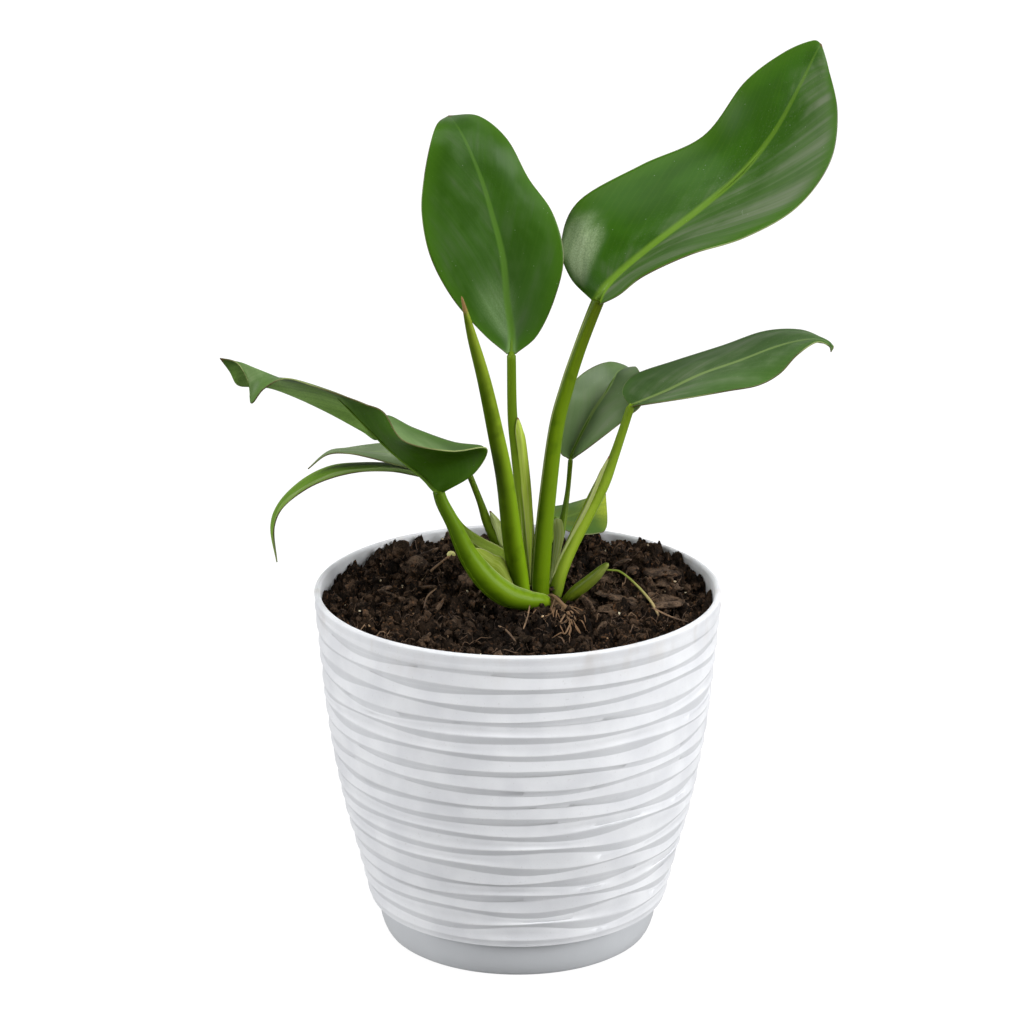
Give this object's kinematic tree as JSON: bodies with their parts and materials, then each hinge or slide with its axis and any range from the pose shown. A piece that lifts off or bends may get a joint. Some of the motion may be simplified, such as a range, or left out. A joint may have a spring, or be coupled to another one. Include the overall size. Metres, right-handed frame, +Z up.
{
  "type": "potted philodendron",
  "caption": "Leafy philodendron with upright and drooping oval leaves, growing from soil in a round tapered plastic pot with wavy ribs, on a clip-in saucer.",
  "frame": {"origin": "middle of the saucer's flat underside, on the surface that it stands on", "axes": "+Z up; -Y is the front, the side that the new leaf and the left front leaf lean to; +X is to the right as seen from the front, towards the tallest leaf's tip"},
  "size_m": [0.281, 0.19, 0.4164],
  "materials": {
    "pot_plastic": "white satin plastic with shallow wavy ribs",
    "saucer_plastic": "plain light grey satin plastic",
    "soil": "dark, crumbly peat-based potting soil, fully rough",
    "bark": "green-brown young stem, dull",
    "root": "tan, fibrous, dull",
    "stalk": "smooth waxy green stalk, soft sheen",
    "leaf": "deep green leaf with a waxy sheen",
    "sheath": "pale green papery sheath"
  },
  "bodies": {
    "root": {"pot": "pot_plastic", "saucer": "saucer_plastic", "potting_soil": "soil", "stem_base": "bark", "surface_root": "root", "aerial_root": "root", "side_shoot": "stalk", "new_leaf": "stalk", "centre_stalk": "stalk", "tall_right_stalk": "stalk", "left_front_stalk": "stalk", "right_middle_stalk": "stalk", "back_right_stalk": "stalk", "left_upper_stalk": "stalk", "left_drooping_stalk": "stalk", "back_low_stalk": "stalk", "centre_blade": "leaf", "tall_right_blade": "leaf", "left_front_blade": "leaf", "right_middle_blade": "leaf", "back_right_blade": "leaf", "left_upper_blade": "leaf", "left_drooping_blade": "leaf", "back_low_blade": "leaf", "centre_sheath": "sheath", "front_sheath": "sheath", "left_sheath": "sheath", "back_right_sheath": "sheath"}
  },
  "joints": []
}
